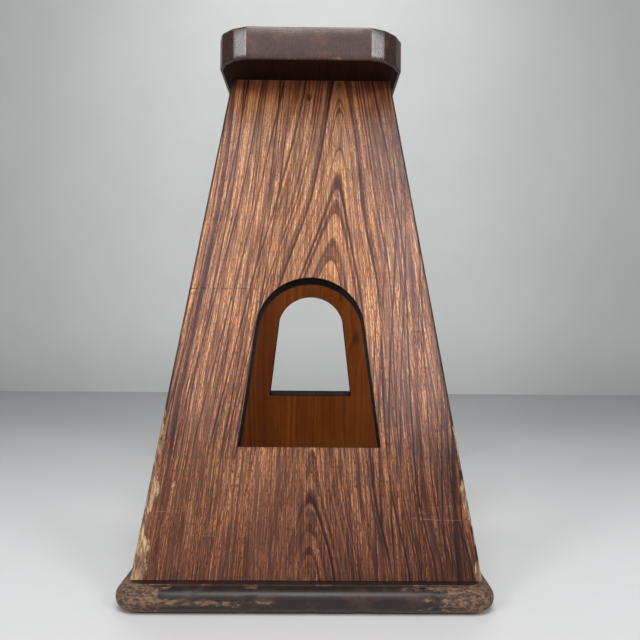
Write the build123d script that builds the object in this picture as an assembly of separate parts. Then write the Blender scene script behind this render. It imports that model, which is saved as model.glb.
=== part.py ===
from build123d import *
from math import acos, atan, cos, hypot, radians, sin
import os

# A low wooden armrest stand: a narrow top board on two leg panels that lean towards each other, let into a
# base board with a bullnose edge. Each panel has an arched opening. The joints are shallow housings, held by
# wood screws from under the base and by blind dowels in the top board.
# Millimetres, +Z up. The origin is the middle of the base board's underside, the length runs along Y, and the
# front leg panel is the one at -Y. The rear one is the front one turned half a turn about Z.

# Driving dimensions
overall_height = 303.8
foot_span = 299.0            # between the outer faces of the panels, at the base board
lean_slope = 1 / 5           # how far a panel leans inward for its height
panel_thickness = 15.0
panel_foot_width = 178.0
panel_top_width = 93.5
base_thickness = 13.0
base_end_overhang = 11.5
base_side_overhang = 6.7
base_corner_radius = 13.0
top_thickness = 17.7
top_end_overhang = 31.0
top_side_overhang = 5.2
top_corner_leg = 18.0        # how much of each side a facetted corner takes
top_corner_facets = 3

# The arched opening, on a panel's outer face, as heights over the base board's underside
arch_sill_height = 78.0
arch_crown_height = 167.8
arch_sill_width = 74.6
arch_crown_radius = 29.4

# Edges
quirk_step = 0.5             # the base board's field stands this far above its bullnose
nose_radius = 6.2
top_upper_round = 1.0
top_lower_round = 0.8
top_facet_round = 4.0
panel_arris = 1.0
arch_arris = 0.5

# Housings: a tongue on each end of a panel sits in a stopped groove
tongue_thickness = 9.0
tongue_depth = 5.0
foot_tongue_setback = 14.0   # from a panel's edge to its tongue
top_tongue_setback = 9.0
housing_clearance = 0.1
housing_end_gap = 0.3

# Wood screws through the base board and dowels in the top board
screw_places = (-60.0, 0.0, 60.0)
screw_length = 34.0
screw_radius = 1.75
screw_root_radius = 1.3
screw_pitch = 1.8
screw_plain_length = 12.0
screw_point_length = 3.0
screw_head_radius = 4.0
screw_head_rim = 0.4
screw_head_recess = 1.6
screw_slot_width = 1.0
screw_slot_depth = 1.1
dowel_places = (-22.0, 22.0)
dowel_radius = 3.0
dowel_in_panel = 13.0
dowel_in_top = 12.0
dowel_chamfer = 0.6
bore_clearance = 0.05
bore_end_gap = 1.0

# Worked out from those
lean = atan(lean_slope)
panel_head_height = overall_height - top_thickness
panel_rise = panel_head_height - base_thickness
base_width = panel_foot_width + 2 * base_side_overhang
base_length = foot_span + 2 * base_end_overhang
top_width = panel_top_width + 2 * top_side_overhang
top_length = foot_span - 2 * panel_rise * lean_slope + 2 * top_end_overhang
nose_thickness = base_thickness - quirk_step
half_turn = Rot(0, 0, 180)


def face_y(height):
    """Where the front panel's outer face stands at a height."""
    return -foot_span / 2 + (height - base_thickness) * lean_slope


def middle_y(height):
    """Where the middle of the front panel's thickness stands at a height."""
    return face_y(height) + panel_thickness / (2 * cos(lean))


def lean_axis(x, height):
    """A plane across the front panel's lean, centred in its thickness, with +Z up the panel."""
    return Plane(origin=(x, middle_y(height), height), x_dir=(1, 0, 0), z_dir=(0, sin(lean), cos(lean)))


def up_face(height):
    """The distance up a panel's outer face from its foot to a height."""
    return (height - base_thickness) / cos(lean)


def rounded_block(width, length, thickness, radius, bottom):
    block = extrude(RectangleRounded(width, length, radius), thickness)
    return Pos(0, 0, bottom) * block


def block_between(low, high):
    size = [b - a for a, b in zip(low, high)]
    return Pos(*low) * Box(*size, align=(Align.MIN, Align.MIN, Align.MIN))


def tongue(width, setback, height, up, clearance, end_gap):
    """The front panel's tongue from a height, upward or downward, grown by a clearance for its housing."""
    half_width = width / 2 - setback + clearance
    half_thickness = tongue_thickness / 2 + clearance
    depth = tongue_depth + end_gap
    bottom = height if up else height - depth
    middle = middle_y(height)
    return block_between(
        (-half_width, middle - half_thickness, bottom),
        (half_width, middle + half_thickness, bottom + depth),
    )


def foot_tongue(clearance=0.0, end_gap=0.0):
    return tongue(panel_foot_width, foot_tongue_setback, base_thickness, False, clearance, end_gap)


def head_tongue(clearance=0.0, end_gap=0.0):
    return tongue(panel_top_width, top_tongue_setback, panel_head_height, True, clearance, end_gap)


def screw_profile(grow=0.0, with_thread=True):
    """Half the outline of a countersunk wood screw: its head's face at zero, its point up +Z."""
    shank = screw_radius + grow
    head = screw_head_radius + grow
    cone_end = screw_head_rim + head - shank
    thread_end = screw_length - screw_point_length
    points = [(0, 0), (head, 0), (head, screw_head_rim), (shank, cone_end)]
    if with_thread:
        points.append((screw_radius, screw_plain_length))
        turns = int((thread_end - screw_plain_length) / screw_pitch)
        for turn in range(turns):
            start = screw_plain_length + turn * screw_pitch
            points.append((screw_root_radius, start + 0.4 * screw_pitch))
            points.append((screw_root_radius, start + 0.6 * screw_pitch))
            points.append((screw_radius, start + screw_pitch))
        points.append((0, screw_length))
    else:
        points.append((shank, screw_length + bore_end_gap))
        points.append((0, screw_length + bore_end_gap))
    outline = Polyline(*[(r, 0, z) for r, z in points], close=True)
    return make_face(outline)


def wood_screw():
    body = revolve(screw_profile(), Axis.Z)
    slot = Box(2 * screw_head_radius + 1, screw_slot_width, 2 * screw_slot_depth)
    return body - slot


def screw_bore():
    """The countersunk hole for a wood screw, open below its head."""
    hole = revolve(screw_profile(bore_clearance, with_thread=False), Axis.Z)
    mouth = Cylinder(
        screw_head_radius + bore_clearance,
        2 * screw_head_recess,
        align=(Align.CENTER, Align.CENTER, Align.MAX),
    )
    return hole + mouth


def dowel(grow=0.0, end_gap=0.0):
    """A dowel, or its bore, standing upright from inside the panel to inside the top board."""
    length = dowel_in_panel + dowel_in_top + 2 * end_gap
    pin = Cylinder(dowel_radius + grow, length, align=(Align.CENTER, Align.CENTER, Align.MIN))
    if not grow:
        pin = chamfer(pin.edges().filter_by(GeomType.CIRCLE), dowel_chamfer)
    return Pos(0, 0, panel_head_height - dowel_in_panel - end_gap) * pin


def at_screws(shape):
    return [lean_axis(x, screw_head_recess) * shape for x in screw_places]


def at_dowels(shape):
    middle = middle_y(panel_head_height - dowel_in_panel / 2)
    return [Pos(x, middle, 0) * shape for x in dowel_places]


def arch_outline():
    """The arched opening on a panel's outer face: straight sides, tangent to a round crown."""
    sill = up_face(arch_sill_height)
    centre = up_face(arch_crown_height) - arch_crown_radius
    half_sill = arch_sill_width / 2
    reach = hypot(half_sill, centre - sill)
    touch_angle = acos(arch_crown_radius / reach) - atan((centre - sill) / half_sill)
    touch_x = arch_crown_radius * cos(touch_angle)
    touch_y = centre + arch_crown_radius * sin(touch_angle)
    sides = Polyline((-touch_x, touch_y), (-half_sill, sill), (half_sill, sill), (touch_x, touch_y))
    crown = ThreePointArc((touch_x, touch_y), (0, centre + arch_crown_radius), (-touch_x, touch_y))
    return make_face(sides + crown)


def leg_panel():
    """The front leg panel: a leaning trapezium with an arched opening, level ends and a tongue on each."""
    face = Plane(origin=(0, face_y(base_thickness), base_thickness), x_dir=(1, 0, 0),
                 z_dir=(0, -cos(lean), sin(lean)))
    spare = 2 * panel_thickness
    taper = (panel_foot_width - panel_top_width) / 2 / up_face(panel_head_height)
    low, high = -spare, up_face(panel_head_height) + spare
    low_half, high_half = (panel_foot_width / 2 - taper * v for v in (low, high))
    outline = Polyline((-low_half, low), (low_half, low), (high_half, high), (-high_half, high), close=True)
    blank = extrude(face * make_face(outline), -panel_thickness)
    blank = fillet(blank.edges().filter_by(lambda edge: edge.length > panel_rise), panel_arris)
    pierced = blank - extrude(face * arch_outline(), -panel_thickness)
    pierced = chamfer(new_edges(blank, combined=pierced).filter_by(face), arch_arris)
    reach = foot_span
    band = block_between((-reach, -reach, base_thickness), (reach, reach, panel_head_height))
    panel = (pierced & band) + foot_tongue() + head_tongue()
    for hole in at_screws(screw_bore()) + at_dowels(dowel(bore_clearance, bore_end_gap)):
        panel -= hole
    return panel


def base_board():
    nose = rounded_block(base_width, base_length, nose_thickness, base_corner_radius, 0)
    rims = nose.edges().group_by(Axis.Z)
    nose = fillet(rims[0] + rims[-1], nose_radius)
    inset = 2 * nose_radius
    field = rounded_block(base_width - inset, base_length - inset, base_thickness - nose_radius,
                          base_corner_radius - nose_radius, nose_radius)
    board = nose + field
    for cut in [foot_tongue(housing_clearance, housing_end_gap), *at_screws(screw_bore())]:
        board -= cut
        board -= half_turn * cut
    return board


def facetted_corner(side_x, side_y):
    """The points of one corner of the top board, in order from its end face to its long side."""
    step_angle = 90 / (top_corner_facets + 1)
    angles = [radians(step_angle * (k + 1)) for k in range(top_corner_facets)]
    facet = top_corner_leg / sum(cos(a) for a in angles)
    x, y = top_width / 2 - top_corner_leg, top_length / 2
    points = [(x, y)]
    for angle in angles:
        x += facet * cos(angle)
        y -= facet * sin(angle)
        points.append((x, y))
    return [(side_x * px, side_y * py) for px, py in points]


def top_board():
    outline = (
        facetted_corner(1, 1)
        + facetted_corner(1, -1)[::-1]
        + facetted_corner(-1, -1)
        + facetted_corner(-1, 1)[::-1]
    )
    board = Pos(0, 0, panel_head_height) * extrude(make_face(Polyline(*outline, close=True)), top_thickness)
    board = fillet(board.edges().filter_by(Axis.Z), top_facet_round)
    board = fillet(board.edges().group_by(Axis.Z)[-1], top_upper_round)
    board = fillet(board.edges().group_by(Axis.Z)[0], top_lower_round)
    cuts = [head_tongue(housing_clearance, housing_end_gap), *at_dowels(dowel(bore_clearance, bore_end_gap))]
    for cut in cuts:
        board -= cut
        board -= half_turn * cut
    return board


def write(shape, name):
    shape.label = name
    export_step(shape, f"parts/{name}.step")


def main():
    os.makedirs("parts", exist_ok=True)
    write(base_board(), "base_board")
    write(top_board(), "top_board")
    panel = leg_panel()
    screws = at_screws(wood_screw())
    dowels = at_dowels(dowel())
    for end, turn in (("front", Rot(0, 0, 0)), ("rear", half_turn)):
        write(turn * panel, f"{end}_leg_panel")
        for number, screw in enumerate(screws, 1):
            write(turn * screw, f"{end}_foot_screw_{number}")
        for number, pin in enumerate(dowels, 1):
            write(turn * pin, f"{end}_top_dowel_{number}")


main()
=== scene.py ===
from math import acos, atan, atan2, cos, exp, hypot, inf, pi, radians, sin, sqrt, tan

import bpy
from mathutils import Matrix, Vector, noise


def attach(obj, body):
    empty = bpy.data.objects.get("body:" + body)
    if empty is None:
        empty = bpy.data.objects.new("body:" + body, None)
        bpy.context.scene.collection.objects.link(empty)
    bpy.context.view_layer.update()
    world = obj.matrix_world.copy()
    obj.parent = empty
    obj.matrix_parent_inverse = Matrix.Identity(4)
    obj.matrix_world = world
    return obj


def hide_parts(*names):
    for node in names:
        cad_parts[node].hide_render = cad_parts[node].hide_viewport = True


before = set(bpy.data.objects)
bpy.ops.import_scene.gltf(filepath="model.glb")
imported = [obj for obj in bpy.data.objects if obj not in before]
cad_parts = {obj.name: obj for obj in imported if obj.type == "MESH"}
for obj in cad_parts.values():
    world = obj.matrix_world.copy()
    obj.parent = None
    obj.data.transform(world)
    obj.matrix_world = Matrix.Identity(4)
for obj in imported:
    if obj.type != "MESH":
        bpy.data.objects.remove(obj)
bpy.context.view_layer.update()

# Sizes in millimetres, as in the CAD model. Meshes are built in millimetres and written in metres.
MM = 0.001
LEAN_SLOPE = 1 / 5
LEAN = atan(LEAN_SLOPE)
FOOT_SPAN = 299.0  # between the panels' outer faces, on the base board
BASE_TOP = 13.0
HEAD_HEIGHT = 286.1  # where the panels meet the top board
TOP_HEIGHT = 303.8
PANEL_THICKNESS = 15.0
FOOT_HALF = 89.0
HEAD_HALF = 46.75
PANEL_RISE = (HEAD_HEIGHT - BASE_TOP) / cos(LEAN)
TAPER = (FOOT_HALF - HEAD_HALF) / PANEL_RISE
# Heights up a panel's outer face, from its foot
ARCH_SILL = 65.0 / cos(LEAN)
ARCH_CROWN = 154.8 / cos(LEAN)
ARCH_HALF_SILL = 37.3
ARCH_RADIUS = 29.4
ARCH_MIDDLE = 105.0  # the point in the arch from which a face's mesh spreads
TOP_HALF_WIDTH = 51.95
TOP_HALF_LENGTH = 126.1
TOP_CORNER_LEG = 18.0  # how much of each side a facetted corner takes
BASE_HALF_WIDTH = 95.7
BASE_HALF_LENGTH = 161.0
BASE_CORNER = 13.0
SCREW_PLACES = (-60.0, 0.0, 60.0)
SCREW_RECESS = 1.6

# The parts of a board's section
UNDERSIDE, LOWER_ROUND, SIDE, QUIRK, UPPER_ROUND, FIELD = range(6)


def clamp(value, low=0.0, high=1.0):
    return max(low, min(high, value))


def smooth(value, low, high):
    """0 at low and 1 at high, with an eased step between them."""
    t = clamp((value - low) / (high - low))
    return t * t * (3 - 2 * t)


def bell(value, centre, width):
    return exp(-(((value - centre) / width) ** 2))


def dimple(place, centre, sizes):
    """1 at a place in space, falling to 0 around it over a size for each axis."""
    return exp(-sum(((a - b) / c) ** 2 for a, b, c in zip(place, centre, sizes)))


def noise_at(x, y, z, size):
    """Smooth noise from about -1 to 1 with features of about a size."""
    return noise.noise(Vector((x / size, y / size, z / size)))


# ---- shader helpers


class Shader:
    """A material's node tree, with short names for the nodes used here. Sockets and numbers mix freely."""

    def __init__(self, name):
        self.material = bpy.data.materials.new(name)
        self.material.use_nodes = True
        self.tree = self.material.node_tree
        self.tree.nodes.clear()
        coordinates = self.node("TexCoord", {}).outputs["Object"]
        self.point = self.vector("SCALE", coordinates, 1 / MM)
        self.x, self.y, self.z = self.node("SeparateXYZ", {0: self.point}).outputs

    def link(self, value, socket):
        if isinstance(value, bpy.types.NodeSocket):
            self.tree.links.new(value, socket)
        else:
            socket.default_value = value

    def node(self, kind, inputs, **settings):
        node = self.tree.nodes.new("ShaderNode" + kind)
        for name, setting in settings.items():
            setattr(node, name, setting)
        for name, value in inputs.items():
            self.link(value, node.inputs[name])
        return node

    def math(self, operation, *values):
        return self.node("Math", dict(enumerate(values)), operation=operation).outputs[0]

    def fold(self, operation, values):
        total = values[0]
        for value in values[1:]:
            total = self.math(operation, total, value)
        return total

    def add(self, *values):
        return self.fold("ADD", values)

    def times(self, *values):
        return self.fold("MULTIPLY", values)

    def most(self, *values):
        return self.fold("MAXIMUM", values)

    def less(self, a, b):
        return self.math("SUBTRACT", a, b)

    def size(self, value):
        return self.math("ABSOLUTE", value)

    def swing(self, noise, amount):
        """How far a noise is from its middle, times an amount."""
        return self.times(self.less(noise, 0.5), amount)

    def vector(self, operation, a, b):
        """Of two vectors, or of a vector and a number when the operation is SCALE."""
        second = "Scale" if operation == "SCALE" else 1
        return self.node("VectorMath", {0: a, second: b}, operation=operation).outputs[0]

    def combine(self, x, y, z):
        return self.node("CombineXYZ", {0: x, 1: y, 2: z}).outputs[0]

    def noise(self, vector, detail=2.0, roughness=0.5):
        inputs = {"Vector": vector, "Scale": 1.0, "Detail": detail, "Roughness": roughness}
        return self.node("TexNoise", inputs).outputs["Fac"]

    def noise_line(self, value, detail=1.0, roughness=0.5):
        """Noise along one number."""
        inputs = {"W": value, "Scale": 1.0, "Detail": detail, "Roughness": roughness}
        return self.node("TexNoise", inputs, noise_dimensions="1D").outputs["Fac"]

    def field(self, point, scale, detail=2.0, roughness=0.5):
        """Noise at a point, which is scaled by one number or by one for each axis."""
        operation = "MULTIPLY" if isinstance(scale, tuple) else "SCALE"
        return self.noise(self.vector(operation, point, scale), detail, roughness)

    def step(self, value, low, high, to_low=0.0, to_high=1.0):
        """An eased step between two values."""
        inputs = {"Value": value, "From Min": low, "From Max": high, "To Min": to_low, "To Max": to_high}
        return self.node("MapRange", inputs, interpolation_type="SMOOTHSTEP").outputs["Result"]

    def ramp(self, value, stops):
        node = self.node("ValToRGB", {"Fac": value})
        elements = node.color_ramp.elements
        elements.remove(elements[-1])
        for index, (place, colour) in enumerate(stops):
            element = elements.new(place) if index else elements[0]
            element.position = place
            element.color = (*colour, 1.0)
        return node.outputs["Color"]

    def mix(self, amount, a, b, blend="MIX"):
        a, b = ((*value, 1.0) if isinstance(value, tuple) else value for value in (a, b))
        inputs = {"Factor": amount, "A": a, "B": b}
        return self.node("Mix", inputs, data_type="RGBA", blend_type=blend).outputs["Result"]

    def attribute(self, name):
        return self.node("Attribute", {}, attribute_name=name).outputs["Fac"]

    def bump(self, height, distance_mm, strength):
        inputs = {"Height": height, "Distance": distance_mm * MM, "Strength": strength}
        return self.node("Bump", inputs).outputs["Normal"]

    def surface(self, colour, roughness, normal, specular=0.5, metallic=0.0):
        """The finished material."""
        inputs = {"Base Color": colour, "Roughness": roughness, "Normal": normal}
        inputs.update({"Specular IOR Level": specular, "Metallic": metallic})
        shader = self.node("BsdfPrincipled", inputs)
        self.node("OutputMaterial", {"Surface": shader.outputs[0]})
        return self.material


def spot(shader, centre, size, stretch, wobble):
    """1 at a place on a panel's face, falling to 0 at an uneven distance that is longer along the grain."""
    across = shader.times(shader.less(shader.x, centre[0]), 1.0 / size)
    along = shader.times(shader.less(shader.y, centre[1]), 1.0 / (size * stretch))
    square = shader.add(shader.times(across, across), shader.times(along, along))
    reach = shader.add(shader.math("SQRT", square), wobble)
    return shader.step(reach, 1.15, 0.7)


def thread(shader, field, width):
    """Thin lines along the places where a noise field crosses its middle value."""
    away = shader.size(shader.less(field, 0.5))
    return shader.step(away, width, width * 0.35)


# ---- mesh helpers


def new_object(name, data):
    thing = bpy.data.objects.new(name, data)
    bpy.context.scene.collection.objects.link(thing)
    return thing


def new_piece(name, points, faces, materials, face_materials, values, matrix=None):
    """A mesh object from points in millimetres, with a number for each point under each name in values."""
    mesh = bpy.data.meshes.new(name)
    mesh.from_pydata([[c * MM for c in p] for p in points], [], faces)
    for key, numbers in values.items():
        layer = mesh.attributes.new(key, "FLOAT", "POINT")
        layer.data.foreach_set("value", numbers)
    for material in materials:
        mesh.materials.append(material)
    mesh.polygons.foreach_set("material_index", face_materials)
    mesh.shade_smooth()
    mesh.set_sharp_from_angle(angle=radians(40))
    mesh.update()
    piece = new_object(name, mesh)
    if matrix is not None:
        piece.matrix_world = matrix
    return piece


def join_rings(count, rings, flip=False):
    """Quads between each two closed rings in a row. A ring is the index at which its points start."""
    faces = []
    for first, second in zip(rings, rings[1:]):
        for k in range(count):
            after = (k + 1) % count
            face = [first + k, first + after, second + after, second + k]
            faces.append(face[::-1] if flip else face)
    return faces


def closed_tube(count, rings):
    """Joined rings with a face over the last one and one over the first."""
    ends = [[rings[-1] + k for k in range(count)], [rings[0] + k for k in range(count)][::-1]]
    return join_rings(count, rings) + ends


# ---- the leg panels


def arch_shape():
    """The heights of the crown's centre and of where it meets the straight sides, and the angle there."""
    centre = ARCH_CROWN - ARCH_RADIUS
    reach = hypot(ARCH_HALF_SILL, centre - ARCH_SILL)
    angle = acos(ARCH_RADIUS / reach) - atan((centre - ARCH_SILL) / ARCH_HALF_SILL)
    return centre, centre + ARCH_RADIUS * sin(angle), angle


def arch_hit(direction, grow, shift):
    """Where a ray from the arch's middle leaves it. The arch is grown by a margin and shifted."""
    centre, touch_v, angle = arch_shape()
    du, dv = direction
    gap = ARCH_MIDDLE - centre
    radius = ARCH_RADIUS + grow
    # The straight side comes first, then the sill, then the crown above them.
    facing = cos(angle) * abs(du) + sin(angle) * dv
    reach = (radius - sin(angle) * gap) / facing if facing > 0 else inf
    if dv < 0:
        reach = min(reach, (ARCH_SILL - grow - ARCH_MIDDLE) / dv)
    if reach == inf or ARCH_MIDDLE + reach * dv > touch_v:
        half = dv * gap
        reach = -half + sqrt(half * half - gap * gap + radius**2)
    return reach * du + shift[0], ARCH_MIDDLE + reach * dv + shift[1]


def panel_border():
    """Samples round a panel's outline, each as its side and how far along that side it lies."""
    samples = []
    for side, count in (("foot", 118), ("right", 206), ("head", 62), ("left", 206)):
        samples += [(side, k / count) for k in range(count)]
    return samples


def half_width(v):
    return FOOT_HALF - TAPER * v


def edge_gap(u, v):
    """How far inside a panel's nearer long edge a place is."""
    return (half_width(v) - abs(u)) / sqrt(1 + TAPER * TAPER)


def border_point(side, along, depth, inset):
    """A point of a panel's outline at a depth behind its outer face. Only the long sides are inset."""
    low, high = depth * LEAN_SLOPE, PANEL_RISE + depth * LEAN_SLOPE
    if side == "foot":
        half = half_width(low) - inset
        return -half + 2 * half * along, low
    if side == "head":
        half = half_width(high) - inset
        return half - 2 * half * along, high
    if side == "right":
        v = low + (high - low) * along
        return half_width(v) - inset, v
    v = high - (high - low) * along
    return inset - half_width(v), v


def leg_wear(u, v, marks):
    """How worn the lacquer is near a long edge, from 0 to 1, and over how many millimetres from the edge."""
    side = -1 if u < 0 else 1
    strength, reach = 0.34 + 0.1 * noise_at(side * 40, v, marks["seed"], 23), 0.8
    for mark_side, centre, length, amount, width in marks["edges"]:
        if mark_side == side:
            share = exp(-(((v - centre) / length) ** 4))
            strength = max(strength, amount * share)
            reach = max(reach, width * share)
    return strength, reach


def arch_rays(border):
    """A direction from the arch's middle to each sample of the outline. The arch's lower corners get their
    own, so that they stay sharp."""
    rays = []
    for side, along in border:
        u, v = border_point(side, along, 0.0, 0.0)
        length = hypot(u, v - ARCH_MIDDLE)
        rays.append((u / length, (v - ARCH_MIDDLE) / length))
    for sign in (-1, 1):
        length = hypot(ARCH_HALF_SILL, ARCH_SILL - ARCH_MIDDLE)
        corner = (sign * ARCH_HALF_SILL / length, (ARCH_SILL - ARCH_MIDDLE) / length)
        gaps = [hypot(ray[0] - corner[0], ray[1] - corner[1]) for ray in rays]
        rays[gaps.index(min(gaps))] = corner
    return rays


def chip_at(u, v, marks):
    """How worn and how deep a panel's outer face is for the chips near a place."""
    worn, deep = 0.0, 0.0
    for chip_u, chip_v, size, stretch, chip_worn, chip_deep in marks["chips"]:
        share = exp(-(((u - chip_u) / size) ** 2 + ((v - chip_v) / (size * stretch)) ** 2) ** 2)
        worn = max(worn, chip_worn * share)
        deep = max(deep, chip_deep * share)
    return worn, deep


def outer_wear(u, v, marks, outline_gap, arch_gap):
    """How far a panel's outer face has sunk at a place and how worn it is there: from its long edges, its
    chips and the arch's rim. The face is also a little wavy."""
    strength, reach = leg_wear(u, v, marks)
    chip_worn, sink = chip_at(u, v, marks)
    worn = max(strength * bell(edge_gap(u, v), 0.0, reach), 0.4 * bell(arch_gap, 0.0, 0.7), chip_worn)
    sink = max(sink, 0.35 * smooth(worn, 0.45, 0.8) * (0.6 + 0.4 * noise_at(u, v, 3.0, 4)))
    sink += 0.05 * (1 + noise_at(u, v, marks["seed"], 40)) + 0.02 * (1 + noise_at(u, v, 8, 9))
    return sink * (smooth(outline_gap, 0.0, 0.6) * smooth(arch_gap, 0.0, 0.6)), worn


def edge_section(kind, amount, sample, strength, front_radius, back_radius):
    """How deep, how far inset and how worn a panel's edge is at one step round it, from the outer face."""
    if kind == "front":
        return front_radius * (1 - cos(amount)), front_radius * (1 - sin(amount)), strength
    if kind == "back":
        return PANEL_THICKNESS - back_radius * (1 - cos(amount)), back_radius * (1 - sin(amount)), 0.38
    depth = front_radius + (PANEL_THICKNESS - front_radius - back_radius) * amount
    u, v = border_point(*sample, depth, 0.0)
    inset = 0.06 * (1 + noise_at(u, v, depth, 16))
    return depth, inset, 0.12 + 0.55 * max(0.0, strength - 0.4) * (1 - amount)


def leg_panel(name, end_turn, marks, materials):
    """A panel as rings: its outer face between outline and arch, its inner face, its edges and the arch's
    reveal. The materials are the outer face's, the inner face's and the reveal's."""
    border = panel_border()
    count = len(border)
    rays = arch_rays(border)
    seed, shift = marks["seed"], marks["arch_shift"]
    is_long = [side in ("left", "right") for side, _ in border]
    strengths, front_radius, back_radius = [], [], []
    for side, along in border:
        u, v = border_point(side, along, 0.0, 0.0)
        strength, _ = leg_wear(u, v, marks)
        strengths.append(strength)
        uneven = 0.3 * noise_at(u, v, seed + 5, 9)
        front_radius.append(clamp(0.9 + 1.5 * max(0.0, strength - 0.4) + uneven, 0.6, 2.6))
        back_radius.append(0.9 + 0.25 * noise_at(u, v, seed + 90, 14))

    points, wear, reveal, faces, indices = [], [], [], [], []

    def add(u, v, depth, worn, dark_rim_and_shade):
        points.append((u, v, -depth))
        wear.append(worn)
        reveal.append(dark_rim_and_shade)

    def join(rings, index, flip=False):
        new = join_rings(count, rings, flip)
        faces.extend(new)
        indices.extend([index] * len(new))

    foot_lift = 0.25  # how far the outer face's worn lower edge stands above the base board
    near = (0.0, 0.45, 1.2, 2.4, 4.2, 7.0)
    steps = [("outer", d) for d in near] + [("share", k / 14) for k in range(1, 14)]
    steps += [("hole", d) for d in near[::-1]]

    def add_face(depth, radii, hole_round):
        """The flat part of a face, as rings from the outline to the arch."""
        rings = []
        for kind, amount in steps:
            rings.append(len(points))
            for k, (side, along) in enumerate(border):
                outline_u, outline_v = border_point(side, along, depth, radii[k] if is_long[k] else 0.0)
                if depth == 0.0 and side == "foot":
                    outline_v += foot_lift
                hole_u, hole_v = arch_hit(rays[k], hole_round, shift)
                gap = hypot(outline_u - hole_u, outline_v - hole_v)
                place = near[-1] + (gap - 2 * near[-1]) * amount
                if kind != "share":
                    place = amount if kind == "outer" else gap - amount
                t = place / gap
                u, v = outline_u + (hole_u - outline_u) * t, outline_v + (hole_v - outline_v) * t
                if depth == 0.0:
                    sink, worn = outer_wear(u, v, marks, place, amount if kind == "hole" else inf)
                    dark_rim_and_shade = 0.72 * bell(amount, 0.0, 1.0) if kind == "outer" and is_long[k] else 0.0
                    add(u, v, sink, worn, dark_rim_and_shade)
                else:
                    add(u, v, depth, 0.25 * bell(edge_gap(u, v), 0.0, 1.0), 0.0)
        return rings

    front = add_face(0.0, front_radius, 0.55)
    back = add_face(PANEL_THICKNESS, back_radius, 0.5)
    join(front, 0)
    join(back, 1, flip=True)

    # The outline's edge: a round off the outer face, the thickness, and a round onto the inner face.
    edge_rings = [front[0]]
    profile = [("front", radians(a)) for a in (22, 45, 68, 90)]
    profile += [("mid", share) for share in (0.3, 0.5, 0.7)]
    profile += [("back", radians(a)) for a in (90, 60, 30)]
    for kind, amount in profile:
        edge_rings.append(len(points))
        for k, (side, along) in enumerate(border):
            radii = front_radius[k], back_radius[k]
            depth, inset, worn = edge_section(kind, amount, border[k], strengths[k], *radii)
            u, v = border_point(side, along, depth, inset if is_long[k] else 0.0)
            if side == "foot" and kind == "front" and depth < 0.3:
                v += 0.4 * foot_lift
            dark_rim_and_shade = 0.74 if kind == "front" else 0.62
            add(u, v, depth, worn if is_long[k] else 0.0, dark_rim_and_shade if is_long[k] else 0.0)
    edge_rings.append(back[0])
    join(edge_rings, 0, flip=True)

    # The arch's reveal, with its own small rounds.
    rims = [front[-1]]
    # Each ring here carries 1.0 in reveal, so that the rim's rounds take the painted near-black shade.
    levels = ((0.15, 0.18), (0.55, 0.0), (4.5, 0.0), (7.5, 0.0), (10.5, 0.0), (14.5, 0.0), (14.88, 0.15))
    for depth, grow in levels:
        rims.append(len(points))
        for ray in rays:
            wave = 0.12 * noise_at(ray[0] * 40, ray[1] * 40, depth, 12) if 1 < depth < 14 else 0.0
            u, v = arch_hit(ray, grow + max(0.0, wave), shift)
            add(u, v, depth, 0.3 * bell(depth, 0.0, 1.0), 1.0)
    rims.append(back[-1])
    join(rims[:3], 0)
    join(rims[2:], 2)

    place = Matrix((
        (1, 0, 0, 0),
        (0, sin(LEAN), -cos(LEAN), -FOOT_SPAN / 2 * MM),
        (0, cos(LEAN), sin(LEAN), BASE_TOP * MM),
        (0, 0, 0, 1),
    ))
    matrix = Matrix.Rotation(end_turn, 4, "Z") @ place
    return new_piece(name, points, faces, materials, indices, {"wear": wear, "reveal": reveal}, matrix)


def growth_rings(s, shifted, bent, marks):
    """How dark the flat-sawn figure is. Its rings are cones round a pith that lies just behind the face and
    wanders sideways."""
    v, w, seed = s.y, s.z, marks["seed"]
    low_axis, high_axis = marks["axis"]
    off_axis = s.less(bent, s.step(v, 15.0, 255.0, low_axis, high_axis))
    distance = s.size(off_axis)
    depth = s.add(s.times(w, 0.5), 4.5)
    radius = s.math("SQRT", s.add(s.times(off_axis, off_axis), s.times(depth, depth)))
    rise = s.times(s.step(v, 120.0, 210.0, 0.0, 8.0), s.step(distance, 48.0, 14.0))
    cone = s.add(s.times(v, 0.12), rise, s.step(v, 0.0, 50.0, 0.0, 5.0))
    ring = s.add(radius, cone)
    wide = s.noise_line(s.add(s.times(ring, 0.32), seed * 31.0), 2.0, 0.6)
    narrow = s.noise_line(s.add(s.times(ring, 0.62), seed * 47.0), 2.0, 0.6)
    strong = 0.0
    for centre, width, amount in marks["rings"]:
        gap = s.less(ring, centre)
        dark_side = s.step(gap, -0.35 * width, -0.05 * width)
        soft_side = s.step(gap, 0.9 * width, 0.1 * width)
        strong = s.most(strong, s.times(dark_side, soft_side, amount))
    # Beside the figure the rings are steadier lines, closer to upright.
    beside = s.step(distance, 16.0, 34.0)
    upright = s.add(radius, s.times(v, 0.055))
    uneven = s.noise_line(s.add(s.times(upright, 0.11), seed * 19.0))
    wave = s.math("SINE", s.add(s.times(upright, 1.4), s.times(uneven, 17.0)))
    weight = s.step(s.noise_line(s.add(s.times(upright, 0.23), seed * 7.0)), 0.36, 0.6, 0.35, 1.0)
    steady = s.times(s.step(wave, 0.55, 0.95), weight, beside, 0.78)
    thin = s.times(s.step(narrow, 0.535, 0.59), s.less(0.5, s.times(beside, 0.3)))
    dark = s.most(s.times(s.step(wide, 0.5, 0.68), 0.35), thin, steady, strong)
    patchy = s.field(shifted, (1 / 8, 1 / 40, 1 / 8), 3.0)
    dark = s.times(dark, s.step(patchy, 0.3, 0.58, 0.55, 1.0))
    # The figure near the foot has lost its left half.
    half = s.times(s.step(off_axis, 1.0, -5.0), s.step(v, 74.0, 55.0))
    return s.times(dark, s.less(1.0, s.times(half, 0.75)))


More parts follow.
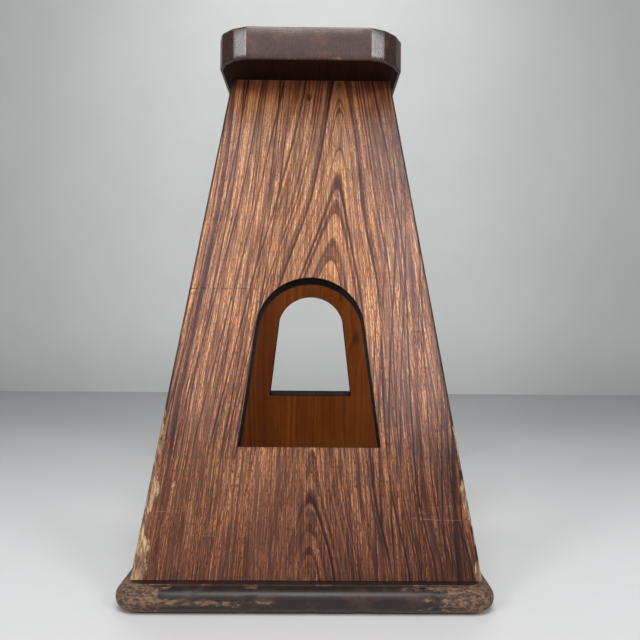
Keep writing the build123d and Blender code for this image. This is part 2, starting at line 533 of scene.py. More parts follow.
def leg_tints_and_painted_light(s, colour, quick):
    """A panel's colour with its tints towards the foot and the right edge, and with painted light, sheen and
    shade.
    """
    u, v = s.x, s.y
    # Darker and redder towards the foot.
    colour = s.mix(s.step(v, 190.0, -10.0), colour, (0.43, 0.335, 0.36), "MULTIPLY")
    # It is darkest along the right edge, except half-way up.
    aside = s.math("DIVIDE", u, s.less(FOOT_HALF, s.times(v, TAPER)))
    above_and_below = s.add(s.step(v, 170.0, 225.0), s.step(v, 90.0, 65.0, 0.0, 0.8))
    colour = s.mix(s.times(s.step(aside, 0.45, 0.8), above_and_below), colour, (0.7, 0.66, 0.68), "MULTIPLY")
    # Painted light: brighter half-way up the face, where more light falls.
    painted_light_halfway = s.times(s.step(v, 40.0, 110.0), s.step(v, 230.0, 160.0))
    colour = s.mix(painted_light_halfway, colour, (1.2, 1.16, 1.14), "MULTIPLY")
    # Painted sheen: a pale bluish sheen beside the middle, stronger on the right.
    painted_sheen = s.times(s.step(s.size(u), 10.0, 60.0), s.step(v, 40.0, 115.0), s.step(v, 275.0, 235.0))
    painted_sheen = s.times(painted_sheen, s.step(u, -70.0, 70.0, 0.4, 1.0))
    colour = s.mix(painted_sheen, colour, (0.03, 0.045, 0.06), "ADD")
    # Painted shade under the top board: warmer there, as in the top board's shadow where no sheen falls, and
    # darkest in the corner against the board.
    head = s.step(v, 245.0, 272.0)
    colour = s.mix(s.times(head, 0.6), colour, (1.25, 0.92, 0.75), "MULTIPLY")
    painted_corner_shade = s.step(s.add(v, s.swing(quick, 9.0)), 265.0, 278.0)
    return s.mix(s.times(painted_corner_shade, 0.75), colour, (0.25, 0.2, 0.2), "MULTIPLY")


def leg_scratches(s, colour, quick, fine, scratches):
    """A panel's colour with its scratches, and how deep they are."""
    u, v = s.x, s.y
    deepest = 0.0
    for start, end, height, slope, width, tint, amount in scratches:
        away = s.less(s.less(v, height), s.times(s.less(u, start), slope))
        away = s.size(s.add(away, s.swing(quick, 1.2)))
        inside = s.times(s.step(u, start, start + 4.0), s.step(u, end, end - 4.0))
        line = s.times(s.step(away, width, width * 0.3), inside, s.step(fine, 0.38, 0.6))
        deepest = s.most(deepest, line)
        colour = s.mix(s.times(line, amount), colour, tint)
    return colour, deepest


def leg_lacquer(name, marks):
    """Reddish-brown lacquer over open-pored wood with a flat-sawn figure, worn to bare wood at the edges."""
    s = Shader(name)
    u, v, w, seed = s.x, s.y, s.z, marks["seed"]
    shifted = s.vector("ADD", s.point, (seed * 13.7, seed * 5.3, seed * 3.1))
    slow = s.field(shifted, (1 / 50, 1 / 130, 1 / 50), 1.0)
    quick = s.field(shifted, (1 / 12, 1 / 45, 1 / 12))
    bent = s.add(u, s.swing(slow, 4.0), s.swing(quick, 0.8))
    dark = growth_rings(s, shifted, bent, marks)
    # The long edges show the rings as lines along their length.
    deep = s.add(s.times(w, 0.8), seed * 3.0)
    edge = s.step(w, -0.9, -2.4)
    edge_rings = s.noise(s.combine(s.times(w, 0.34), s.times(v, 0.006), s.add(deep, 91.0)), 2.0, 0.6)
    edge_lines = s.times(s.step(edge_rings, 0.47, 0.58), 0.7)
    dark = s.add(s.times(dark, s.less(1.0, edge)), s.times(edge_lines, edge))
    # Fibres and pores run with the panel's taper: short dashes, close together.
    spread = s.math("DIVIDE", bent, s.less(1.0, s.times(v, 0.00171)))

    def fibres(across, along, offset=0.0, detail=2.0, roughness=0.6):
        point = s.combine(s.times(spread, across), s.times(v, along), s.add(deep, offset))
        return s.noise(point, detail, roughness)

    streak = fibres(0.14, 0.006, detail=3.0, roughness=0.55)
    grain = fibres(0.5, 0.014, detail=3.0, roughness=0.65)
    dash = s.times(s.step(fibres(1.3, 0.085), 0.54, 0.575), 0.85)
    fine_dash = s.times(s.step(fibres(2.3, 0.2, 9.0, roughness=0.7), 0.555, 0.59), 0.9)
    speck = s.step(fibres(2.4, 0.42, 45.0, 1.0, 0.5), 0.58, 0.61)
    hair = thread(s, fibres(0.5, 0.006, 33.0, 1.0, 0.5), 0.085)
    fine_hair = s.times(thread(s, fibres(0.95, 0.012, 57.0, 1.0, 0.5), 0.1), 0.8)
    broken = s.step(fibres(0.8, 0.05, 71.0, roughness=0.5), 0.36, 0.5, 0.45, 1.0)
    pore = s.most(dash, fine_dash, s.times(s.most(hair, fine_hair), broken), speck)
    pore = s.times(pore, s.step(dark, 0.0, 0.5, 0.88, 1.0), s.step(v, 250.0, 272.0, 1.0, 0.6))
    gold = s.step(fibres(1.4, 0.06, 21.0), 0.44, 0.56)
    tone = s.add(s.swing(streak, 0.6), s.swing(grain, 0.55), 0.875)
    tone = s.less(s.add(tone, s.times(gold, 0.12)), s.times(dark, 0.9))
    colour = s.ramp(s.most(tone, 0.0), [
        (0.0, (0.05, 0.018, 0.015)),
        (0.25, (0.15, 0.055, 0.034)),
        (0.5, (0.34, 0.128, 0.06)),
        (0.75, (0.56, 0.235, 0.1)),
        (1.0, (0.96, 0.475, 0.225)),
    ])
    ink = s.mix(s.times(dark, 0.6), (0.058, 0.021, 0.017), (0.026, 0.012, 0.013))
    colour = leg_tints_and_painted_light(s, s.mix(s.times(pore, 0.9), colour, ink), quick)
    grime = s.field(shifted, (1 / 22, 1 / 34, 1 / 22), 5.0, 0.65)
    colour = s.mix(s.step(grime, 0.42, 0.68, 0.0, 0.35), colour, (0.5, 0.4, 0.37), "MULTIPLY")

    # Small marks: a filled pin knot, dents and scratches.
    fine = s.field(shifted, 0.5, 3.0)
    for centre, size, stretch, tint, amount in marks["spots"]:
        mark = spot(s, centre, size, stretch, s.swing(fine, 0.9))
        colour = s.mix(s.times(mark, amount), colour, tint)
    colour, scratch = leg_scratches(s, colour, quick, fine, marks["scratches"])

    # Bare, dirty wood where the lacquer has worn off.
    torn = s.field(shifted, (0.42, 0.13, 0.42), 5.0, 0.68)
    worn = s.add(s.attribute("wear"), s.swing(torn, 1.1))
    bare = s.step(worn, 0.5, 0.58)
    fringe = s.step(worn, 0.36, 0.5)
    dirt = s.field(shifted, (0.9, 0.16, 0.9), 4.0, 0.6)
    raw = s.ramp(dirt, [
        (0.3, (0.1, 0.055, 0.035)),
        (0.47, (0.27, 0.155, 0.09)),
        (0.6, (0.56, 0.36, 0.2)),
        (0.75, (0.72, 0.5, 0.3)),
    ])
    colour = s.mix(s.times(fringe, 0.55), colour, (0.14, 0.075, 0.05))
    colour = s.mix(bare, colour, raw)

    # The long edges are under thicker, darker lacquer; the arch's rim is painted near black as the shade
    # inside the arch.
    dark_rim_and_shade = s.step(s.attribute("reveal"), 0.3, 0.9)
    shade = s.mix(s.step(grain, 0.4, 0.65), (0.003, 0.002, 0.002), (0.014, 0.008, 0.006))
    colour = s.mix(s.times(dark_rim_and_shade, s.less(1.0, s.times(bare, 0.7))), colour, shade)

    rough = s.add(0.36, s.times(pore, 0.16), s.swing(grime, 0.25))
    rough = s.add(rough, s.times(bare, 0.34), s.times(fringe, 0.1), s.times(dark_rim_and_shade, 0.3))
    height = s.add(s.times(pore, -0.7), s.times(dark, -0.25), s.times(grain, 0.3))
    height = s.add(height, s.times(bare, -0.9), s.times(scratch, -1.2), s.times(dirt, bare, 0.5))
    return s.surface(colour, rough, s.bump(height, 0.16, 0.75), specular=0.25)


def arch_lacquer_painted_shade():
    """Thick black-brown lacquer, brushed round the arches' reveals, painted near black to stand for the shade
    inside the arches.
    """
    s = Shader("arch_lacquer_painted_shade")
    brushed = s.field(s.point, (0.25, 0.25, 1.6), 3.0)
    cloud = s.field(s.point, 0.08)
    colour = s.mix(s.step(brushed, 0.35, 0.65), (0.003, 0.002, 0.002), (0.012, 0.007, 0.005))
    rough = s.add(0.5, s.times(cloud, 0.2))
    return s.surface(colour, rough, s.bump(brushed, 0.05, 0.5), specular=0.06)


def leg_inner(name, seed, knots):
    """The panels' inner faces: smooth oiled wood with a quiet figure and small knots."""
    s = Shader(name)
    u, v, w = s.x, s.y, s.z
    shifted = s.vector("ADD", s.point, (seed * 21.1, seed * 8.7, seed))
    slow = s.field(shifted, (1 / 48, 1 / 120, 1 / 48), 1.5)
    bent = s.add(u, s.swing(slow, 16.0))
    knot_shade = 0.0
    for centre, size in knots:
        reach = s.math("SQRT", s.add(
            s.math("POWER", s.times(s.less(u, centre[0]), 1.0 / size), 2.0),
            s.math("POWER", s.times(s.less(v, centre[1]), 0.45 / size), 2.0),
        ))
        push = s.math("EXPONENT", s.times(reach, reach, -0.22))
        bent = s.add(bent, s.times(push, size * 1.6))
        knot_shade = s.most(knot_shade, s.step(reach, 1.0, 0.25))
    rings = s.noise_line(s.add(s.times(bent, 0.3), s.times(v, 0.012), seed * 9.0), 2.5, 0.6)
    fibre = s.noise(s.combine(s.times(bent, 1.9), s.times(v, 0.03), s.add(w, seed)), 3.0, 0.6)
    pores = s.noise(s.combine(s.times(bent, 2.6), s.times(v, 0.12), s.add(w, seed)))
    pore = s.step(pores, 0.56, 0.66)
    cloud = s.field(shifted, (1 / 22, 1 / 60, 1 / 22), 3.0)
    tone = s.add(s.times(rings, 0.5), s.times(fibre, 0.35), s.times(cloud, 0.35), -0.1)
    colour = s.ramp(tone, [
        (0.25, (0.1, 0.021, 0.003)),
        (0.45, (0.18, 0.04, 0.005)),
        (0.6, (0.25, 0.062, 0.008)),
        (0.8, (0.33, 0.09, 0.014)),
    ])
    colour = s.mix(s.times(pore, 0.4), colour, (0.09, 0.032, 0.012))
    colour = s.mix(s.times(knot_shade, 0.75), colour, (0.05, 0.018, 0.008))
    stain = s.field(shifted, (1 / 14, 1 / 26, 1 / 14), 4.0, 0.7)
    colour = s.mix(s.step(stain, 0.56, 0.74, 0.0, 0.45), colour, (0.5, 0.4, 0.34), "MULTIPLY")
    # Darker towards the long edge where u is positive.
    colour = s.mix(s.step(u, 20.0, 40.0, 0.0, 0.6), colour, (0.45, 0.42, 0.4), "MULTIPLY")
    rough = s.add(0.46, s.times(stain, 0.1))
    height = s.add(s.times(pore, -0.6), s.times(fibre, 0.3))
    return s.surface(colour, rough, s.bump(height, 0.08, 0.6), specular=0.15)


# ---- the top board and the base board


def corner_arc(centre, radius, angles):
    """Points of a round corner, each with its outward normal."""
    normals = [Vector((cos(angle), sin(angle))) for angle in angles]
    return [(centre + normal * radius, normal) for normal in normals]


def polygon_ring(corners, rounds, spacing):
    """Points round a polygon whose corners turn alike, at about a spacing, each with its outward normal. Each
    corner is rounded by its own radius."""
    ring = []
    count = len(corners)
    for k in range(count):
        before, here, after = (Vector(corners[(k + step) % count]) for step in (-1, 0, 1))
        arriving, leaving = (here - before).normalized(), (after - here).normalized()
        start, turn = atan2(-arriving.x, arriving.y), arriving.angle_signed(leaving)
        radius = rounds[k]
        cut = radius * tan(abs(turn) / 2)
        centre = here - arriving * cut - Vector((cos(start), sin(start))) * radius
        ring += corner_arc(centre, radius, [start - turn * j / 4 for j in range(5)])
        last, normal = ring[-1]
        next_cut = rounds[(k + 1) % count] * tan(abs(turn) / 2)
        length = (after - last).length - next_cut
        steps = max(2, round(length / spacing))
        for j in range(1, steps):
            ring.append((last + leaving * (length * j / steps), normal))
    return ring


def swept_board(name, ring, profile, materials, worn, dent):
    """A board as a section swept round an outline. Its profile's entries are height, inset, part and how far
    the outline has shrunk to the board's middle line. The materials are the board's and its underside's."""
    reach_x = max(place.x for place, _ in ring)
    spine = max(place.y for place, _ in ring) - reach_x
    points, wear, rings = [], [], []
    for height, inset, part, shrink in profile:
        rings.append(len(points))
        for place, normal in ring:
            flat = place - normal * inset
            flat = flat.lerp(Vector((0.0, clamp(flat.y, -spine, spine))), shrink)
            flat = flat - normal * dent(flat.x, flat.y, height, part)
            points.append((flat.x, flat.y, height))
            wear.append(worn(flat.x, flat.y, height, part))
    indices = []
    for _, _, part, _ in profile[1:]:
        indices += [1 if part == UNDERSIDE else 0] * len(ring)
    faces = closed_tube(len(ring), rings)
    return new_piece(name, points, faces, materials, indices + [0, 1], {"wear": wear})


def hand_cut(x, y):
    """Where across the top board a corner was cut. The front ones are a little off centre."""
    if y < -115:
        return x - 1.2
    return x - 0.5 if x > 0 > y else x


def top_outline():
    """The top board's corners, counter-clockwise, each with the radius that wear has given it."""
    angles = [radians(22.5 * k) for k in (1, 2, 3)]
    facet = TOP_CORNER_LEG / sum(cos(a) for a in angles)
    x, y = TOP_HALF_WIDTH - TOP_CORNER_LEG, TOP_HALF_LENGTH
    quarter = [(x, y)]
    for angle in angles:
        x, y = x + facet * cos(angle), y - facet * sin(angle)
        quarter.append((x, y))
    corners = [(-x, y) for x, y in quarter]
    corners += [(-x, -y) for x, y in quarter[::-1]]
    corners += [(x, -y) for x, y in quarter]
    corners += [(x, y) for x, y in quarter[::-1]]
    corners = [(hand_cut(x, y), y) for x, y in corners]
    rounds = [2.0 if abs(y) == TOP_HALF_LENGTH else 7.0 for _, y in corners]
    return corners, rounds


def top_board(materials):
    ring = polygon_ring(*top_outline(), 1.3)
    low, high, radius = HEAD_HEIGHT, TOP_HEIGHT, 0.9
    shrinks = (0.015, 0.04, 0.08, 0.16, 0.3, 0.5, 0.75)
    profile = [(low, radius, UNDERSIDE, shrink) for shrink in shrinks[::-1]]
    for angle in (radians(degree) for degree in (0, 30, 60, 90)):
        profile.append((low + radius * (1 - cos(angle)), radius * (1 - sin(angle)), LOWER_ROUND, 0.0))
    profile += [(low + rise, 0.0, SIDE, 0.0) for rise in (3.0, 6.0, 9.0, 12.0)]
    radius = 1.0
    for angle in (radians(degree) for degree in (0, 22, 45, 68, 90)):
        profile.append((high - radius * (1 - sin(angle)), radius * (1 - cos(angle)), UPPER_ROUND, 0.0))
    profile += [(high, radius, FIELD, shrink) for shrink in shrinks]

    def dent(x, y, z, part):
        chip = 0.5 * dimple((x, y, z), (30.5, -126.0, 301.0), (1.4, 5.0, 1.6))
        if part in (UNDERSIDE, FIELD):
            return chip
        push = 0.05 * (1 + noise_at(x, y, z, 17)) + 0.02 * (1 + noise_at(x, y, z, 3.2))
        if part in (LOWER_ROUND, UPPER_ROUND):
            push += 0.12 * smooth(noise_at(x, y, 40.0, 9), 0.3, 0.7)
        return push + chip

    def worn(x, y, z, part):
        if part == LOWER_ROUND:
            return 0.38 + 0.1 * noise_at(x, y, 7.0, 15) - 0.2 * smooth(abs(x), 36.0, 48.0)
        if part == UPPER_ROUND:
            return 0.36 + 0.12 * noise_at(x, y, 3.0, 15)
        return 0.22 if part == FIELD else 0.12

    return swept_board("top_board_wood", ring, profile, materials, worn, dent)


def round_rect_ring(half_x, half_y, radius, spacing):
    """Points round a rectangle with round corners, each with its outward normal, counter-clockwise."""
    ring = []
    corners = [(1, -1, -90), (1, 1, 0), (-1, 1, 90), (-1, -1, 180)]
    for index, (sx, sy, start) in enumerate(corners):
        centre = Vector((sx * (half_x - radius), sy * (half_y - radius)))
        ring += corner_arc(centre, radius, [radians(start + 90 * k / 16) for k in range(17)])
        here, normal = ring[-1]
        after = corners[(index + 1) % 4]
        target = Vector((after[0] * (half_x - radius), after[1] * (half_y - radius))) + normal * radius
        count = round((target - here).length / spacing)
        for k in range(1, count):
            ring.append((here.lerp(target, k / count), normal))
    return ring


def nose_wear(x, y, z):
    """How much more than elsewhere the base board's bullnose has worn, most of all on the front end."""
    amount = 0.3 * bell(z, 0.4, 1.5) + 0.18 * bell(z, 12.2, 0.9) + 0.16 * noise_at(x, y, z, 30)
    amount += 0.2 * bell(z, 6.8, 1.6) * smooth(noise_at(x, y, 2.0, 26), -0.2, 0.3)
    front = 0.46 * bell(x, -54.0, 28.0) * bell(z, 6.6, 2.4) + 0.3 * bell(x, -20.0, 6.0) * bell(z, 7.6, 1.4)
    front += 0.24 * bell(x, 72.0, 24.0) + 0.2 * bell(x, -86.0, 14.0)
    return amount + front * smooth(-y, 150.0, 158.0)


def base_board(materials):
    outline = round_rect_ring(BASE_HALF_WIDTH, BASE_HALF_LENGTH, BASE_CORNER, 1.4)
    # Like hand work, it is a little narrower than it should be and stands off the middle.
    ring = [(Vector((place.x * 0.994 - 0.55, place.y)), normal) for place, normal in outline]
    shrinks = (0.01, 0.03, 0.07, 0.15, 0.3, 0.5, 0.75)
    nose_radius, nose_middle, field_inset = 6.2, 6.25, 6.85
    profile = [(0.0, nose_radius, UNDERSIDE, shrink) for shrink in shrinks[::-1]]
    for angle in (radians(degree) for degree in range(-90, 91, 12)):
        height = nose_middle + (nose_middle - 0.02) * sin(angle)
        profile.append((height, nose_radius * (1 - cos(angle)), SIDE, 0.0))
    profile += [(12.5, 6.25, QUIRK, 0.0), (12.42, 6.4, QUIRK, 0.0)]
    profile += [(12.75, 6.5, UPPER_ROUND, 0.0), (12.95, 6.62, UPPER_ROUND, 0.0)]
    profile += [(BASE_TOP, field_inset, UPPER_ROUND, 0.0)]
    profile += [(BASE_TOP, field_inset, FIELD, shrink) for shrink in shrinks]

    def dent(x, y, z, part):
        if part in (UNDERSIDE, FIELD):
            return 0.0
        if part in (QUIRK, UPPER_ROUND):
            return 0.12 * (1 + noise_at(x, y, z, 12))
        push = 0.1 * (1 + noise_at(x, y, z, 21)) + 0.05 * (1 + noise_at(x, y, z, 5.0))
        push += 0.5 * smooth(noise_at(x, y, z * 1.6, 8.5), 0.22, 0.6)
        return push + 0.9 * dimple((x, y, z), (-25.3, -161.0, 1.4), (1.1, 3.0, 1.3))

    def worn(x, y, z, part):
        if part == FIELD:
            return 0.06
        amount = 0.2 + 0.4 * smooth(abs(x), 60.0, 90.0) * smooth(abs(y), 120.0, 150.0)
        if part == SIDE:
            amount += nose_wear(x, y, z)
        if part == UPPER_ROUND:
            amount += 0.26
        return clamp(amount)

    piece = swept_board("base_board_wood", ring, profile, materials, worn, dent)
    cut_screw_holes(piece, materials)
    return piece


def cut_screw_holes(piece, materials):
    """Opens the base board's underside over each screw's countersunk head."""
    points, faces = [], []
    count = 24
    head_radius, shank_radius = 4.06, 1.85
    sections = ((-4.0, head_radius), (0.4, head_radius), (2.65, shank_radius), (8.0, shank_radius))
    middle = -FOOT_SPAN / 2 + (SCREW_RECESS - BASE_TOP) * LEAN_SLOPE + PANEL_THICKNESS / (2 * cos(LEAN))
    for end in (1, -1):
        for x in SCREW_PLACES:
            rings = []
            for along, radius in sections:
                rings.append(len(points))
                for k in range(count):
                    angle = 2 * pi * k / count
                    across, back = radius * cos(angle), radius * sin(angle)
                    y = middle + back * cos(LEAN) + along * sin(LEAN)
                    z = SCREW_RECESS - back * sin(LEAN) + along * cos(LEAN)
                    points.append(((x + across) * end, y * end, z))
            faces += closed_tube(count, rings)
    cutter = new_piece("screw_hole_cutter", points, faces, materials, [1] * len(faces), {})
    cut = piece.modifiers.new("screw_holes", "BOOLEAN")
    cut.operation = "DIFFERENCE"
    cut.solver = "EXACT"
    cut.object = cutter
    graph = bpy.context.evaluated_depsgraph_get()
    result = piece.evaluated_get(graph)
    mesh = bpy.data.meshes.new_from_object(result, preserve_all_data_layers=True, depsgraph=graph)
    piece.modifiers.clear()
    old = piece.data
    piece.data = mesh
    bpy.data.meshes.remove(old)
    bpy.data.objects.remove(cutter)


def dark_lacquer(name, seed, body, painted_front_sheen, warm, raw, grain, gloss, peel, shine):
    """Thick dark lacquer over raw wood of a dark and a light brown, which shows where it has worn off. It has
    warm patches and an uneven gloss, and a painted sheen, lighter and greyer, on the flat middle of the top
    board's ends."""
    s = Shader(name)
    raw_dark, raw_light = raw
    shifted = s.vector("ADD", s.point, (seed * 17.3, seed * 7.9, seed * 2.3))
    lines = s.field(shifted, grain, 4.0, 0.6)
    cloud = s.field(shifted, (1 / 13, 1 / 13, 1 / 13), 4.0, 0.6)
    specks = s.field(shifted, 1.6, 3.0, 0.7)
    end = s.step(s.size(s.y), 121.0, 125.0)
    between = s.step(s.add(s.size(s.x), s.swing(cloud, 12.0)), 36.0, 32.0)
    # Painted sheen: the flat middle of each end, between the facets, is lighter and greyer.
    colour = s.mix(s.times(end, between), body, painted_front_sheen)
    colour = s.mix(s.step(cloud, 0.52, 0.7), colour, warm)
    colour = s.mix(s.step(lines, 0.35, 0.68), s.mix(0.35, colour, (0.0, 0.0, 0.0)), colour)
    colour = s.mix(s.step(specks, 0.62, 0.74, 0.0, 0.35), colour, raw_dark)
    torn = s.field(shifted, (0.1, 0.1, 0.24), 8.0, 0.72)
    worn = s.add(s.attribute("wear"), s.swing(torn, 1.5))
    bare = s.step(worn, 0.5, 0.6)
    fringe = s.step(worn, 0.38, 0.52)
    dirt = s.field(shifted, (0.3, 0.5, 0.7), 8.0, 0.78)
    wood = s.mix(s.step(dirt, 0.4, 0.64), raw_dark, raw_light)
    colour = s.mix(s.times(fringe, 0.45), colour, raw_dark)
    colour = s.mix(s.times(bare, 0.9), colour, wood)
    orange_peel = s.field(shifted, peel)
    rough = s.add(gloss, s.swing(cloud, 0.2), s.times(bare, 0.3), s.times(fringe, 0.12))
    height = s.add(orange_peel, s.times(lines, 0.25), s.times(bare, -0.8), s.times(dirt, bare, 0.5))
    return s.surface(colour, rough, s.bump(height, 0.06, 0.8), specular=shine)


def top_lacquer():
    return dark_lacquer(
        "dark_top_lacquer",
        seed=3.0,
        body=(0.04, 0.018, 0.014),
        painted_front_sheen=(0.075, 0.037, 0.032),
        warm=(0.12, 0.042, 0.024),
        raw=[(0.11, 0.055, 0.036), (0.3, 0.19, 0.12)],
        grain=(0.9, 0.05, 0.35),
        gloss=0.24,
        peel=1.5,
        shine=0.6,
    )


def base_lacquer():
    body = (0.022, 0.011, 0.01)
    return dark_lacquer(
        "dark_base_lacquer",
        seed=4.0,
        body=body,
        painted_front_sheen=body,
        warm=(0.05, 0.025, 0.018),
        raw=[(0.05, 0.026, 0.018), (0.28, 0.165, 0.1)],
        grain=(0.5, 0.03, 0.6),
        gloss=0.38,
        peel=0.8,
        shine=0.44,
    )


def dark_underside(name, dark, light):
    """Planed wood in a dark and a light brown, for the faces that look down. The top board's is painted near
    black as the shade under it; the base board's is a thin dark stain.
    """
    s = Shader(name)
    fibre = s.field(s.point, (0.9, 0.03, 0.9), 4.0, 0.65)
    cloud = s.field(s.point, (0.05, 0.02, 0.05), 3.0)
    colour = s.mix(s.step(s.add(s.times(fibre, 0.7), s.times(cloud, 0.3)), 0.35, 0.65), dark, light)
    return s.surface(colour, s.add(0.6, s.times(cloud, 0.2)), s.bump(fibre, 0.08, 0.6), specular=0.12)


# ---- hidden fastenings


def screw_steel():
    s = Shader("dull_screw_steel")
    turned = s.field(s.point, (0.8, 0.8, 9.0))
    stained = s.step(s.field(s.point, 0.9, 5.0, 0.7), 0.48, 0.66)
    steel = s.mix(turned, (0.2, 0.19, 0.18), (0.36, 0.34, 0.32))
    colour = s.mix(stained, steel, (0.13, 0.06, 0.03))
    rough = s.add(0.36, s.times(turned, 0.12), s.times(stained, 0.35))
    height = s.add(turned, s.times(stained, 1.5))
    return s.surface(colour, rough, s.bump(height, 0.03, 0.6), metallic=0.85)


def dowel_wood():
    s = Shader("bare_dowel_wood")
    fibre = s.field(s.point, (2.2, 2.2, 0.09), 4.0, 0.6)
    cloud = s.field(s.point, (0.3, 0.3, 0.05))
    colour = s.ramp(s.add(s.times(fibre, 0.7), s.times(cloud, 0.3)), [
        (0.3, (0.33, 0.2, 0.1)),
        (0.5, (0.53, 0.36, 0.2)),
        (0.7, (0.68, 0.5, 0.31)),
    ])
    return s.surface(colour, s.add(0.6, s.times(fibre, 0.15)), s.bump(fibre, 0.06, 0.7))


# ---- the object

DARK_SCRATCH = (0.05, 0.028, 0.024)
PALE_SCRATCH = (0.36, 0.25, 0.19)
FRONT_MARKS = {
    "seed": 1.0,
    # how far the arch was cut off its place, across and up
    "arch_shift": (0.7, 0.0),
    # side, height up the face, half-length, amount, width from the edge
    "edges": [
        (-1, 48.0, 56.0, 0.7, 4.4),
        (-1, 43.0, 14.0, 0.84, 7.0),
        (-1, 8.0, 20.0, 0.88, 9.5),
        (1, 48.0, 52.0, 0.6, 2.4),
        (1, 42.0, 12.0, 0.78, 4.2),
        (1, 3.0, 8.0, 0.82, 4.6),
    ],
    # place across and up, size, stretch, amount, depth
    "chips": [(-69.5, 47.0, 1.7, 1.3, 0.8, 0.35), (68.0, 60.0, 1.3, 1.2, 0.45, 0.15)],
    # how far across the figure's axis stands at the foot and at the head
    "axis": (0.5, 16.5),
    # where on the ring scale, width, amount
    "rings": [
        (10.2, 0.9, 0.5), (13.6, 1.7, 0.95), (21.0, 1.2, 0.3), (27.0, 1.0, 0.55),
        (41.2, 0.9, 0.7), (43.0, 1.5, 0.95), (52.3, 1.5, 1.0), (58.5, 0.9, 0.7),
        (66.0, 1.1, 0.8), (74.5, 0.9, 0.75), (84.0, 1.1, 0.85), (92.5, 1.2, 0.85),
        (103.0, 1.0, 0.7),
    ],
    # place, size, stretch, colour, amount
    "spots": [
        ((-1.2, 267.5), 1.1, 2.6, (0.035, 0.02, 0.018), 0.85),
        ((-1.6, 262.8), 1.2, 0.8, (0.2, 0.19, 0.18), 0.75),
        ((11.7, 264.8), 0.5, 1.0, (0.5, 0.42, 0.36), 0.8),
        ((2.5, 31.0), 3.2, 1.0, (0.07, 0.03, 0.025), 0.4),
    ],
    # from, to, height up the face, slope, half-width, colour, amount
    "scratches": [
        (-69.0, -31.0, 151.5, 0.0, 0.5, DARK_SCRATCH, 0.75),
        (54.0, 68.0, 128.0, 0.04, 0.35, DARK_SCRATCH, 0.55),
        (52.0, 83.0, 30.5, -0.04, 0.3, PALE_SCRATCH, 0.38),
        (60.0, 82.0, 36.0, 0.03, 0.26, PALE_SCRATCH, 0.4),
        (-80.0, -60.0, 33.0, 0.06, 0.28, PALE_SCRATCH, 0.36),
        (30.0, 58.0, 71.0, 0.3, 0.3, PALE_SCRATCH, 0.3),
        (-62.0, -44.0, 22.0, -0.05, 0.25, PALE_SCRATCH, 0.3),
    ],
}
REAR_MARKS = {
    "seed": 2.0,
    "arch_shift": (0.0, 1.2),
    "edges": [
        (-1, 20.0, 18.0, 0.62, 4.0),
        (1, 12.0, 14.0, 0.68, 6.0),
        (1, 60.0, 30.0, 0.5, 2.4),
        (-1, 110.0, 40.0, 0.44, 1.6),
    ],
    "chips": [(60.0, 30.0, 1.6, 1.4, 0.7, 0.3)],
    "axis": (-6.0, 4.0),
    "rings": [
        (18.0, 1.8, 0.8), (24.0, 1.4, 0.9), (33.0, 1.6, 0.9), (46.0, 1.5, 0.95),
        (56.0, 1.3, 0.8), (64.0, 1.0, 0.6), (73.0, 1.3, 0.8), (85.0, 1.1, 0.7),
        (96.0, 1.2, 0.8),
    ],
    "spots": [((20.0, 205.0), 1.3, 2.0, (0.035, 0.02, 0.018), 0.8)],
    "scratches": [
        (12.0, 44.0, 190.0, -0.03, 0.4, DARK_SCRATCH, 0.55),
        (-70.0, -35.0, 42.0, 0.05, 0.3, PALE_SCRATCH, 0.36),
        (20.0, 60.0, 26.0, -0.06, 0.3, PALE_SCRATCH, 0.4),
    ],
}


def build_object():
    rear_inner = leg_inner("oiled_inner_wood", 1.0, [((-41.2, 122.2), 4.2), ((-27.0, 158.5), 1.7)])
    front_inner = leg_inner("oiled_inner_wood_front", 2.0, [((30.0, 210.0), 2.2)])
    front_outer = leg_lacquer("lacquered_leg_front", FRONT_MARKS)
    rear_outer = leg_lacquer("lacquered_leg_rear", REAR_MARKS)
    reveal = arch_lacquer_painted_shade()
    # Painted shade: the top board's underside is near black, as in its shadow.
    top_underside_shade = dark_underside("top_underside_painted_shade", (0.004, 0.001, 0.001), (0.02, 0.005, 0.003))
    base_stain = dark_underside("stained_base_underside", (0.03, 0.017, 0.012), (0.11, 0.065, 0.04))
    front = leg_panel("front_leg_panel_wood", 0.0, FRONT_MARKS, [front_outer, front_inner, reveal])
    rear = leg_panel("rear_leg_panel_wood", pi, REAR_MARKS, [rear_outer, rear_inner, reveal])
    top = top_board([top_lacquer(), top_underside_shade])
    base = base_board([base_lacquer(), base_stain])
    for piece, node, slot in (
        (front, "front_leg_panel", "panel_wood"),
        (rear, "rear_leg_panel", "panel_wood"),
        (top, "top_board", "top_wood"),
        (base, "base_board", "base_wood"),
    ):
        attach(piece, "root")
        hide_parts(node)
    finishes = {"screw": screw_steel(), "dowel": dowel_wood()}
    for node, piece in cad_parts.items():
        for word, finish in finishes.items():
            if word in node:
                for slot in piece.material_slots:
                    slot.material = finish


# ---- the stage


def stage_material(name, colour, rough, mottle, painted_falloffs):
    """Pale paint, a little uneven, with painted shade: it darkens to grey along each of the given directions,
    where the light falls off.
    """
    s = Shader(name)
    soft = s.field(s.point, 0.006, 4.0, 0.55)
    fine = s.field(s.point, 0.3)
    low = tuple(c * (1 - mottle) for c in colour)
    paint = s.mix(s.step(soft, 0.3, 0.7), low, colour)
    axes = {"x": s.size(s.x), "y": s.y, "z": s.z}
    for axis, start, end, amount in painted_falloffs:
        paint = s.mix(s.step(axes[axis], start, end, 0.0, amount), paint, (0.2, 0.205, 0.21))
    return s.surface(paint, rough, s.bump(fine, 0.05, 0.2), specular=0.3)


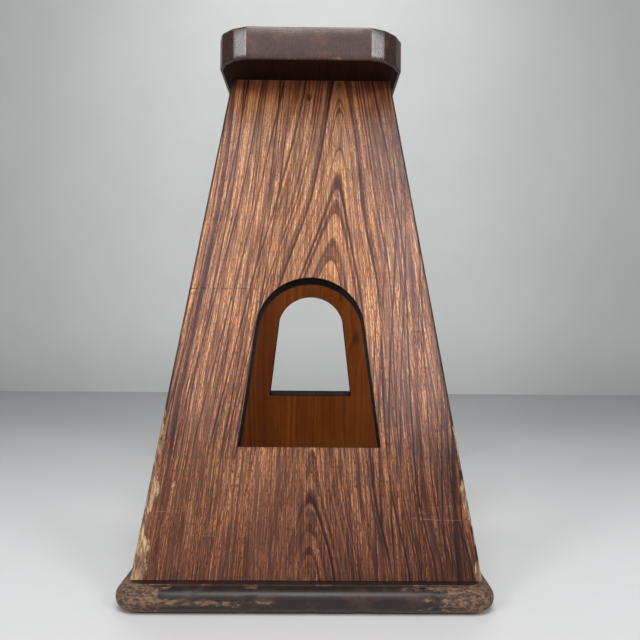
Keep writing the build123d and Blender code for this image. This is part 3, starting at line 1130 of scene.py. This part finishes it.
def sheet(name, low, high, material):
    """A rectangle across X between two opposite corners, facing up or along -Y."""
    corners = [low, (high[0], *low[1:]), high, (low[0], *high[1:])]
    mesh = bpy.data.meshes.new(name)
    mesh.from_pydata(corners, [], [(0, 1, 2, 3)])
    mesh.materials.append(material)
    new_object(name, mesh)


def area_light(name, place, target, width, height, power, colour=(1.0, 1.0, 1.0)):
    light = bpy.data.lights.new(name, "AREA")
    light.shape = "RECTANGLE"
    light.size, light.size_y = width, height
    light.energy = power
    light.color = colour
    lamp = new_object(name, light)
    lamp.location = place
    lamp.rotation_euler = (Vector(target) - Vector(place)).to_track_quat("-Z", "Y").to_euler()


def build_stage():
    # Painted shade: the wall greys towards its far sides and its foot, and the floor towards the back.
    painted_dim_ends = [("x", 220.0, 700.0, 0.3), ("z", 160.0, -20.0, 0.2)]
    floor_paint = stage_material("pale_floor", (0.74, 0.74, 0.742), 0.5, 0.03, [("y", -160.0, 600.0, 0.6)])
    wall_paint = stage_material("pale_wall", (0.74, 0.75, 0.74), 0.8, 0.04, painted_dim_ends)
    # In metres. The floor lies just under the stand, so that the two don't fight for the same place.
    floor_z, wall_y, half_width = -0.0003, 0.85, 4
    sheet("floor", (-half_width, -half_width, floor_z), (half_width, half_width, floor_z), floor_paint)
    sheet("wall", (-half_width, wall_y, floor_z), (half_width, wall_y, 3), wall_paint)
    area_light("left_light", (-1.15, -1.25, 0.98), (0, -0.1, 0.2), 0.45, 0.45, 8.5)
    area_light("right_light", (1.15, -1.25, 0.98), (0, -0.1, 0.2), 0.45, 0.45, 8.0)
    area_light("over_light", (0.0, -0.56, 0.82), (0, -0.1, 0.15), 0.5, 0.35, 4.4)
    area_light("front_light", (0.0, -1.7, 0.95), (0, -0.1, 0.2), 2.0, 1.4, 4.5, (0.92, 0.96, 1.0))
    area_light("rear_light", (0.0, 0.55, 1.1), (0, 0.1, 0.15), 0.6, 0.4, 2.2)
    world = bpy.data.worlds.new("soft_room")
    bpy.context.scene.world = world
    world.use_nodes = True
    background = world.node_tree.nodes["Background"]
    background.inputs["Color"].default_value = (0.62, 0.64, 0.66, 1.0)
    background.inputs["Strength"].default_value = 0.34


def build_camera():
    """Low and close to the front end, looking along the stand."""
    yaw, pitch, roll = 0.010, 0.006, 0.008
    ahead = Vector((sin(yaw) * cos(pitch), cos(yaw) * cos(pitch), sin(pitch)))
    right = Vector((cos(yaw), -sin(yaw), 0.0))
    up = right.cross(ahead)
    right, up = right * cos(roll) + up * sin(roll), up * cos(roll) - right * sin(roll)
    data = bpy.data.cameras.new("camera")
    data.sensor_width = 36.0
    data.lens = 36.11
    data.clip_start, data.clip_end = 0.01, 20.0
    camera = new_object("camera", data)
    camera.matrix_world = Matrix((
        (right.x, up.x, -ahead.x, 0.0025),
        (right.y, up.y, -ahead.y, -0.4733),
        (right.z, up.z, -ahead.z, 0.1425),
        (0, 0, 0, 1),
    ))
    bpy.context.scene.camera = camera


build_object()
build_stage()
build_camera()
bpy.context.scene.view_settings.view_transform = "Standard"
